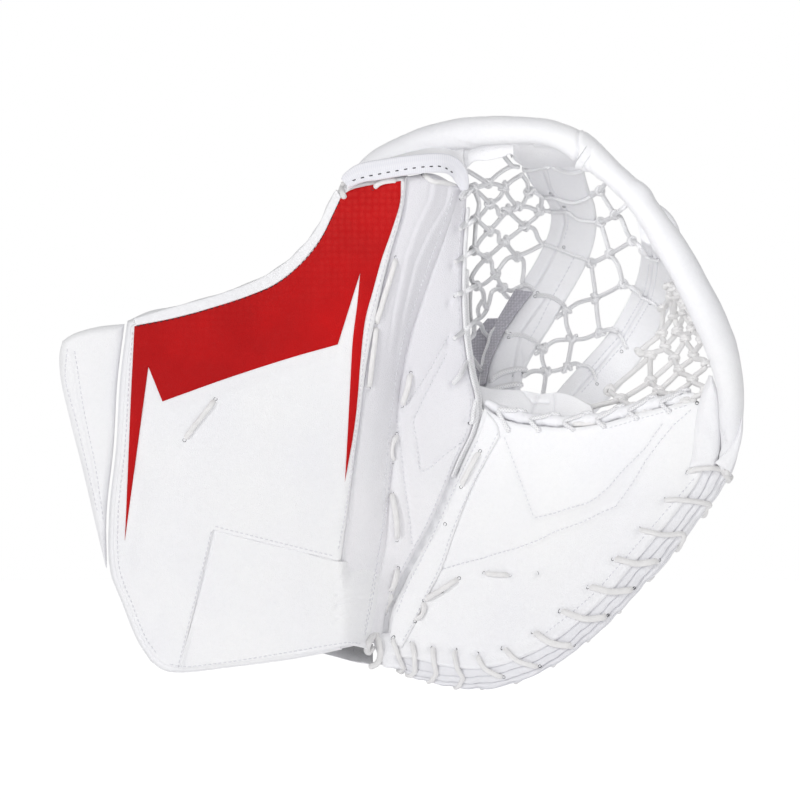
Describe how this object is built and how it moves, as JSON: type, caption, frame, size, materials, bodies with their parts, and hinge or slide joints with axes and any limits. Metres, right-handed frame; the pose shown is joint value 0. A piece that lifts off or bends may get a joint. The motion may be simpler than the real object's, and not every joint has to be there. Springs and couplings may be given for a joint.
{
  "type": "ice hockey goalie catch glove",
  "caption": "Left-hand ice hockey goalie catching glove with one-piece cuff, laced web pocket on a padded rim, folding break, wrist strap and lifting backhand flap.",
  "frame": {"origin": "centre of the bounding box in plan, at the level of its lowest point, the glove standing on its lower edge", "axes": "+X from the cuff towards the pocket, +Y out of the back of the hand (the palm faces -Y), +Z from the lower edge up to the thumb tip"},
  "size_m": [0.39, 0.1748, 0.3302],
  "materials": {
    "white_leather": "satin fine-grained synthetic leather",
    "red_leather": "satin fine-grained synthetic leather",
    "white_lace": "matt coated leather lace",
    "web_lace": "matt round nylon lace",
    "webbing": "ribbed woven webbing",
    "lining": "matt brushed knit lining",
    "foam": "matt closed-cell foam",
    "protection_plate": "matt polyethylene sheet",
    "rim_core": "matt extruded plastic rod",
    "hook_tape": "matt hook-and-loop tape",
    "strap_plastic": "matt moulded plastic"
  },
  "bodies": {
    "thumb_side": {"cuff_front_cover": "white_leather", "cuff_plastic_plate": "protection_plate", "cuff_foam_core": "foam", "cuff_back_cover": "white_leather", "graphic_overlay": "white_leather", "red_panel": "red_leather", "cuff_top_binding": "webbing", "cuff_wing": "white_leather", "thumb_gusset": "white_leather", "palm_panel": "white_leather", "palm_foam": "foam", "thumb_tip_binding": "webbing", "rim_sleeve_thumb": "white_leather", "rim_core_thumb": "rim_core", "t_stem": "white_leather", "web_thumb": "web_lace", "thumb_web_lace": "white_lace", "gusset_lace": "white_lace", "cuff_lace": "white_lace", "palm_lace": "white_lace", "thumb_back_pad": "white_leather", "thumb_stall": "lining", "cuff_upper_wall": "white_leather", "cuff_lower_wall": "white_leather", "cuff_lining": "lining", "palm_liner": "lining", "strap_anchor": "strap_plastic", "wrist_hook_patch": "hook_tape"},
    "finger_side": {"rim_sleeve_finger": "white_leather", "rim_core_finger": "rim_core", "second_stem": "white_leather", "web_middle": "web_lace", "web_finger": "web_lace", "finger_front_cover": "white_leather", "finger_plastic_plate": "protection_plate", "finger_foam": "foam", "finger_back_pad": "white_leather", "finger_edge_binding": "webbing", "perimeter_lace": "white_lace", "break_strip": "white_leather", "pocket_edge_roll": "white_leather", "pocket_edge_lace": "white_lace", "break_lace": "white_lace", "finger_lace": "white_lace", "index_stall": "lining", "middle_stall": "lining", "ring_stall": "lining", "little_stall": "lining"},
    "backhand": {"backhand_liner": "lining", "backhand_foam": "foam", "backhand_plate": "protection_plate", "backhand_cover": "white_leather", "backhand_hook_patch": "hook_tape"},
    "hand_strap_body": {"hand_strap": "webbing"},
    "wrist_strap_body": {"wrist_strap": "webbing", "strap_pull_tab": "hook_tape"}
  },
  "joints": [
    {"name": "palm_break", "type": "hinge", "parent": "thumb_side", "child": "finger_side", "pos_m": [-0.00812, -0.0179, 0.03143], "axis": [-0.3629, 0.1143, -0.9248], "range_deg": [0, 60]},
    {"name": "backhand_lift", "type": "hinge", "parent": "thumb_side", "child": "backhand", "pos_m": [-0.02294, 0.0261, 0.14144], "axis": [1, 0, 0], "range_deg": [0, 35]},
    {"name": "hand_strap_peel", "type": "hinge", "parent": "backhand", "child": "hand_strap_body", "pos_m": [-0.02408, 0.0421, 0.12149], "axis": [1, 0, 0], "range_deg": [0, 75]},
    {"name": "wrist_strap_peel", "type": "hinge", "parent": "thumb_side", "child": "wrist_strap_body", "pos_m": [-0.10901, 0.0205, 0.21155], "axis": [1, 0, 0], "range_deg": [0, 110]}
  ]
}
